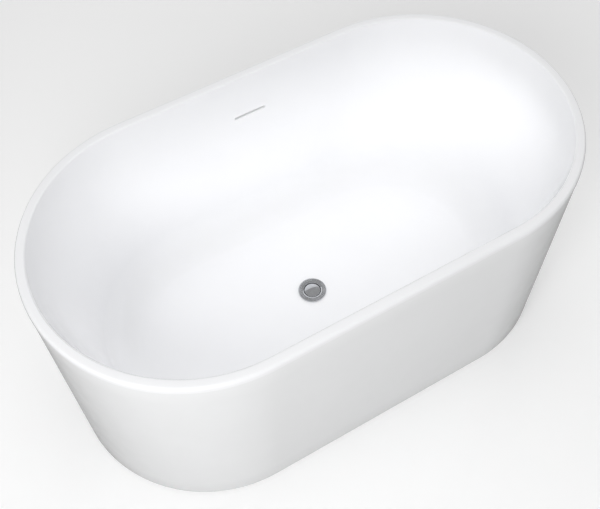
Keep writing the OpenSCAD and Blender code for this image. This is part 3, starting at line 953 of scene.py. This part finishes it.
def build_stem():
    """The stem, with the groove that the click works in."""
    low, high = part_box("stopper_stem")
    r = high.x
    groove = low.z + 5 * MM
    groove_r = r - 0.7 * MM
    outline = [
        (r - 0.8 * MM, low.z), (r, low.z + 0.8 * MM), (r, groove),
        (groove_r, groove + 0.3 * MM), (groove_r, groove + 1.7 * MM),
        (r, groove + 2 * MM), (r, high.z)
    ]
    add_object(
        "click_stem", lathe("click_stem", outline, 48, solid=True), "stopper",
        "drain_chrome", ["stopper_stem"]
    )


def build_cartridge():
    """The brass cartridge around the stem, whose neck sits in the strainer's hub."""
    low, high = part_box("stopper_cartridge")
    r = high.x
    neck = 4 * MM
    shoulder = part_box("drain_flange")[0].z + 11 * MM
    bore = 3.06 * MM
    corners = [
        (neck, low.z), (neck, shoulder), (r, shoulder), (r, shoulder + 4 * MM),
        (r - 0.7 * MM, shoulder + 4.7 * MM), (r - 0.7 * MM, high.z - 5 * MM),
        (r, high.z - 4.4 * MM), (r, high.z), (bore, high.z), (bore, shoulder + 2 * MM)
    ]
    radii = [0.3, 0, 0.3, 0.2, 0.2, 0.2, 0.2, 0.5, 0.2, 0]
    outline = rounded(corners, [radius * MM for radius in radii])
    add_object(
        "click_cartridge", lathe("click_cartridge", outline, 64, solid=True), "tub",
        "brass", ["stopper_cartridge"]
    )


# ---- Cradle and feet ------------------------------------------------------------------

def build_cradle():
    """The board, the steel cradle and the brackets, screws and bolts that hold it all."""
    refined("base_board", "tub", "plywood", 0.8 * MM)
    for node in ("frame_rail_front", "frame_rail_back", "frame_cross_left", "frame_cross_right"):
        refined(node, "tub", "frame_steel", 1.6 * MM, long_only=0.3)
    refined("skirt_brackets", "tub", "zinc_steel", 0.4 * MM)
    for node in ("board_screws", "frame_bolts", "bracket_screws", "bracket_bolts"):
        refined(node, "tub", "zinc_steel", 0.35 * MM)


def hex_rings(at, flat, low, high, bore):
    """Rings of a chamfered hexagon nut: up its outside from the bottom, then down its bore."""
    count = 72
    face_r = flat / 2 * 0.954
    turns = [TAU * i / count for i in range(count)]
    corner_r = [flat / 2 / math.cos(turn % (TAU / 6) - TAU / 12) for turn in turns]
    drops = [max(0, r - face_r) * math.tan(TAU / 12) for r in corner_r]

    def ring_of(radii, heights):
        """One ring, with a radius and a height for each turn."""
        return [
            (at[0] + r * math.cos(turn), at[1] + r * math.sin(turn), z)
            for turn, r, z in zip(turns, radii, heights)
        ]

    return [
        ring_of([face_r] * count, [low] * count),
        ring_of(corner_r, [low + drop for drop in drops]),
        ring_of(corner_r, [high - drop for drop in drops]),
        ring_of([face_r] * count, [high] * count),
        ring_of([bore] * count, [high] * count),
        ring_of([bore] * count, [low] * count)
    ]


def build_nuts():
    """The welded and jam nuts of the four feet."""
    for node in ("foot_nuts", "foot_jam_nuts"):
        low, high = (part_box(node)[i].z for i in (0, 1))
        nuts = [
            loop_skin("nut", hex_rings(at, NUT_FLAT, low, high, ROD_R + ROD_FIT), sharp=25)
            for at in FOOT_PLACES.values()
        ]
        add_object("fine_" + node, joined("nuts", *nuts, sharp=25), "tub", "zinc_steel", [node])


FEET = ("front_left", "front_right", "back_left", "back_right")
FOOT_PLACES = {
    foot: tuple(sum((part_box("foot_pad_" + foot)[i] for i in (0, 1)), Vector()) / 2)[:2]
    for foot in FEET
}


def build_pad(foot, at, top):
    """A foot's pad: a wide brim with grooves underneath, and ribs up to its hub."""
    socket = 5.06 * MM
    hub_r = 10 * MM
    under = []
    for r in (20, 15, 10):
        under += [(r, 0), (r - 0.6, 0.7), (r - 1.9, 0.7), (r - 2.5, 0)]
    body = [(r * MM, z * MM) for r, z in reversed(under)]
    body += rounded([
        (23.8 * MM, 0), (25 * MM, 1.3 * MM), (25 * MM, 4.8 * MM), (23.4 * MM, 6.4 * MM),
        (11.6 * MM, 8.4 * MM), (hub_r, 10 * MM), (hub_r, top)
    ], [r * MM for r in (0.8, 0.8, 1, 1, 2, 1, 1)], 4)[:-1]
    body += [(hub_r, top - 0.6 * MM), (hub_r - 0.6 * MM, top), (socket, top), (socket, 8 * MM)]
    pad = lathe("pad", body, 96, at=at, solid=True)
    ribs = [
        moved(pad_rib(top), Matrix.Translation((*at, 0)) @ Matrix.Rotation(TAU * i / 10, 4, "Z"))
        for i in range(10)
    ]
    piece = add_object(
        "pad_" + foot, pad, "foot_pad_" + foot, "foot_plastic", ["foot_pad_" + foot]
    )
    combine(piece, ribs, "UNION")


def build_rod(foot, at, top):
    """A foot's M12 rod, with a neck in the pad's socket and a collar for a spanner."""
    low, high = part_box("foot_rod_" + foot)
    collar = top + 5.2 * MM
    neck = 5 * MM
    rod = [
        (neck - 1.5 * MM, low.z), (neck, low.z + 1.5 * MM), (neck, top + 1 * MM),
        (ROD_R, top + 1.6 * MM), (ROD_R, high.z - 1 * MM), (ROD_R - 1 * MM, high.z)
    ]
    thread = (collar + 0.5 * MM, high.z - 1.2 * MM, M12_PITCH, M12_DEPTH)
    mesh = lathe("rod", rod, 40, 45, at=at, solid=True, thread=thread)
    collar_mesh = loop_skin(
        "collar", hex_rings(at, COLLAR_FLAT, top + 0.2 * MM, collar, 4 * MM), sharp=25
    )
    add_object(
        "rod_" + foot, joined("rod", mesh, collar_mesh, sharp=40), "foot_rod_" + foot,
        "zinc_steel", ["foot_rod_" + foot]
    )


def build_foot(foot):
    """One levelling foot: a ribbed pad and a threaded rod."""
    at = FOOT_PLACES[foot]
    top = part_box("foot_pad_" + foot)[1].z
    build_pad(foot, at, top)
    build_rod(foot, at, top)


def pad_rib(top):
    """A thin web between the pad's hub and its brim."""
    half = 0.9 * MM
    inner = 9 * MM
    side = [
        (inner, 7.6 * MM), (22.6 * MM, 6.2 * MM), (22.9 * MM, 6.9 * MM),
        (inner + 1.4 * MM, top - 3 * MM), (inner, top - 3 * MM)
    ]
    rings = [[(x, y, z) for x, z in side] for y in (-half, half)]
    return loop_skin("rib", rings, closed=False)


# ---- Overflow -------------------------------------------------------------------------

def wall_back(z):
    """Distance of the basin laminate's back from the middle, at a height."""
    return wall_r(z) + (SHEET_T + LAMINATE_T) / math.cos(WALL_LEAN)


def gap_middle(z):
    """Middle of the space between the basin's back and the skirt's, at a height."""
    return (wall_back(z) + skirt_r(z, SHEET_T + SKIRT_LAMINATE_T)) / 2


# Overflow hose: its route, its radii and its ribs.
HOSE_HIGH = 345 * MM
HOSE_LOW = 67 * MM
HOSE_BEND = 50 * MM
HOSE_END = 38 * MM
HOSE_R = 10 * MM
HOSE_IN_R = 8.65 * MM
HOSE_RING = 0.5 * MM
HOSE_SIDES = 28
CUFF = 17 * MM
RIB_PITCH = 4 * MM
RIB_H = 1.1 * MM
RIB_IN_H = 0.6 * MM


def hose_line():
    """Points along the hose's middle as (distance from the waste, height, lean)."""
    top_z = HOSE_HIGH - 2 * MM
    turn = math.atan(SLOT_X / gap_middle(HOSE_HIGH))
    top_d = gap_middle(HOSE_HIGH) / math.cos(turn)
    bend_z = HOSE_LOW + HOSE_BEND
    down = (top_z - HOSE_LOW - HOSE_BEND * (1 - math.sin(SKIRT_LEAN))) / math.cos(SKIRT_LEAN)
    bend_d = top_d - down * math.sin(SKIRT_LEAN) - HOSE_BEND * math.cos(SKIRT_LEAN)
    line = []
    steps = round(down / HOSE_RING)
    for i in range(steps):
        way = down * i / steps
        line.append((
            top_d - way * math.sin(SKIRT_LEAN), top_z - way * math.cos(SKIRT_LEAN), SKIRT_LEAN
        ))
    steps = round(HOSE_BEND * (math.pi / 2 - SKIRT_LEAN) / HOSE_RING)
    for i in range(steps):
        a = SKIRT_LEAN + (math.pi / 2 - SKIRT_LEAN) * i / steps
        line.append((bend_d + HOSE_BEND * math.cos(a), bend_z - HOSE_BEND * math.sin(a), a))
    steps = round((bend_d - HOSE_END) / HOSE_RING)
    for i in range(steps + 1):
        line.append((bend_d + (HOSE_END - bend_d) * i / steps, HOSE_LOW, math.pi / 2))
    return line, turn


def hose_mesh():
    """The corrugated overflow hose with a plain cuff at each end."""
    line, turn = hose_line()
    outer = []
    inner = []
    for i, (d, z, lean) in enumerate(line):
        way = min(i, len(line) - 1 - i) * HOSE_RING
        wave = 0.5 - 0.5 * math.cos(TAU * (way - CUFF) / RIB_PITCH) if way > CUFF else 0
        for rings, r in ((outer, HOSE_R - RIB_H * wave), (inner, HOSE_IN_R - RIB_IN_H * wave)):
            points = []
            for k in range(HOSE_SIDES):
                a = TAU * k / HOSE_SIDES
                across = d + r * math.sin(a) * math.cos(lean)
                side = r * math.cos(a)
                points.append((
                    side * math.cos(turn) + across * math.sin(turn),
                    -side * math.sin(turn) + across * math.cos(turn),
                    z - r * math.sin(a) * math.sin(lean)
                ))
            rings.append(points)
    return loop_skin("overflow_line", outer + inner[::4][::-1], sharp=70)


def build_overflow():
    """The overflow box, gasket, hose and clamps, and the adhesive bead under the rim."""
    refined("overflow_box", "tub", "grey_plastic", 0.8 * MM)
    refined("overflow_gasket", "tub", "black_rubber", 0.2 * MM)
    refined("hose_clamps", "tub", "zinc_steel", 0.3 * MM)
    refined("rim_adhesive", "tub", "adhesive_white", 0.2 * MM)
    add_object("overflow_line", hose_mesh(), "tub", "white_plastic", ["overflow_hose"])


# ---- Studio ---------------------------------------------------------------------------

FLOOR_R = 12
FLOOR_SIDES = 96
FLOOR_DROP = 0.5 * MM


def build_floor():
    """A wide round pale floor under the tub, as a single sheet that no surface mirrors."""
    look = Look("studio_floor", (0.97, 0.97, 0.97), 0.7)
    look.tinted(look.noise(1.5, 2), (0.3, 0.99), (0.7, 1.0))
    look.shader.inputs["Emission Color"].default_value = (1, 1, 1, 1)
    look.shader.inputs["Emission Strength"].default_value = 0.1
    turns = [TAU * i / FLOOR_SIDES for i in range(FLOOR_SIDES)]
    edge = [(FLOOR_R * math.cos(a), FLOOR_R * math.sin(a), -FLOOR_DROP) for a in turns]
    floor = bpy.data.objects.new("floor", mesh_from("floor", edge, [range(FLOOR_SIDES)]))
    bpy.context.scene.collection.objects.link(floor)
    floor.data.materials.append(look.material)
    floor.visible_glossy = False


def softbox(name, place, aim, size, power):
    """An area light at a place, pointing at aim, that no surface mirrors."""
    light = bpy.data.lights.new(name, "AREA")
    light.shape = "RECTANGLE"
    light.size, light.size_y = size
    light.energy = power
    lamp = bpy.data.objects.new(name, light)
    lamp.location = place
    lamp.rotation_euler = (Vector(aim) - Vector(place)).to_track_quat("-Z", "Y").to_euler()
    lamp.visible_glossy = False
    bpy.context.scene.collection.objects.link(lamp)


# Brightness of the room against the height of a direction, from -1 straight down to 1 straight up.
SKY = [
    (-0.5, 0.32), (-0.2, 0.6), (0.0, 0.6), (0.12, 0.3), (0.28, 0.18), (0.5, 0.38), (0.68, 0.44),
    (0.8, 0.42)
]


def build_sky():
    """A grey room that is palest along the horizon and dark underfoot, for gloss to mirror."""
    world = bpy.data.worlds.new("studio")
    world.use_nodes = True
    nodes, links = world.node_tree.nodes, world.node_tree.links
    place = nodes.new("ShaderNodeTexCoord")
    split = nodes.new("ShaderNodeSeparateXYZ")
    share = nodes.new("ShaderNodeMapRange")
    share.inputs["From Min"].default_value = -1
    ramp = nodes.new("ShaderNodeValToRGB")
    stops = ramp.color_ramp.elements
    while len(stops) < len(SKY):
        stops.new(0.5)
    for stop, (height, level) in zip(stops, SKY):
        stop.position = (height + 1) / 2
        stop.color = (level, level, level, 1)
    links.new(place.outputs["Generated"], split.inputs["Vector"])
    links.new(split.outputs["Z"], share.inputs["Value"])
    links.new(share.outputs["Result"], ramp.inputs["Fac"])
    links.new(ramp.outputs["Color"], nodes["Background"].inputs["Color"])
    bpy.context.scene.world = world


MIDDLE = (0, 0, 0.45)
# Each light is (name, place, aim, size, power in watts). The last one fills the basin.
LIGHTS = [
    ("key", (-2.1, -2.15, 2.6), MIDDLE, (2.0, 2.0), 67),
    ("fill", (1.5, 1.9, 3.4), MIDDLE, (2.5, 2.5), 22),
    ("top", (-0.1, -0.3, 7.0), MIDDLE, (4.0, 4.0), 56),
    ("basin_fill", (0.04, 0.02, BODY_H - 0.02), (0.01, 0.02, 0), (0.16, 1.0), 0.44)
]


def build_lights():
    """The grey room and its softboxes, shown with plain colours."""
    build_sky()
    for light in LIGHTS:
        softbox(*light)
    bpy.context.scene.view_settings.view_transform = "Standard"


CAMERA_PLACE = (-0.7655, -1.2823, 2.4259)
CAMERA_FORWARD = (0.3038, 0.5085, -0.8057)
CAMERA_RIGHT = (0.85463, -0.51922, -0.00543)
CAMERA_SHIFT = (-0.02, -0.04)
LENS = 63.22
SENSOR_W = 36


def build_camera():
    """The camera, from its place and the directions of its frame."""
    data = bpy.data.cameras.new("camera")
    data.sensor_width = SENSOR_W
    data.lens = LENS
    data.shift_x, data.shift_y = CAMERA_SHIFT
    camera = bpy.data.objects.new("camera", data)
    forward = Vector(CAMERA_FORWARD)
    up = Vector(CAMERA_RIGHT).cross(forward).normalized()
    right = forward.cross(up).normalized()
    turn = Matrix((right, up, -forward.normalized())).transposed()
    camera.matrix_world = Matrix.Translation(CAMERA_PLACE) @ turn.to_4x4()
    bpy.context.scene.collection.objects.link(camera)
    bpy.context.scene.camera = camera


def dress_cad_nodes():
    """Gives every CAD node that still shows its slot's material."""
    slots = {part["node"]: part["material_slot"] for part in frame["record"]["subparts"]}
    for name, node in frame["nodes"].items():
        node.data.materials.clear()
        node.data.materials.append(MATERIALS[slots[name]])


dress_cad_nodes()
build_shells()
build_waste()
build_cap()
build_seal()
build_stem()
build_cartridge()
build_cradle()
build_nuts()
for foot in FEET:
    build_foot(foot)
build_overflow()
build_floor()
build_lights()
build_camera()
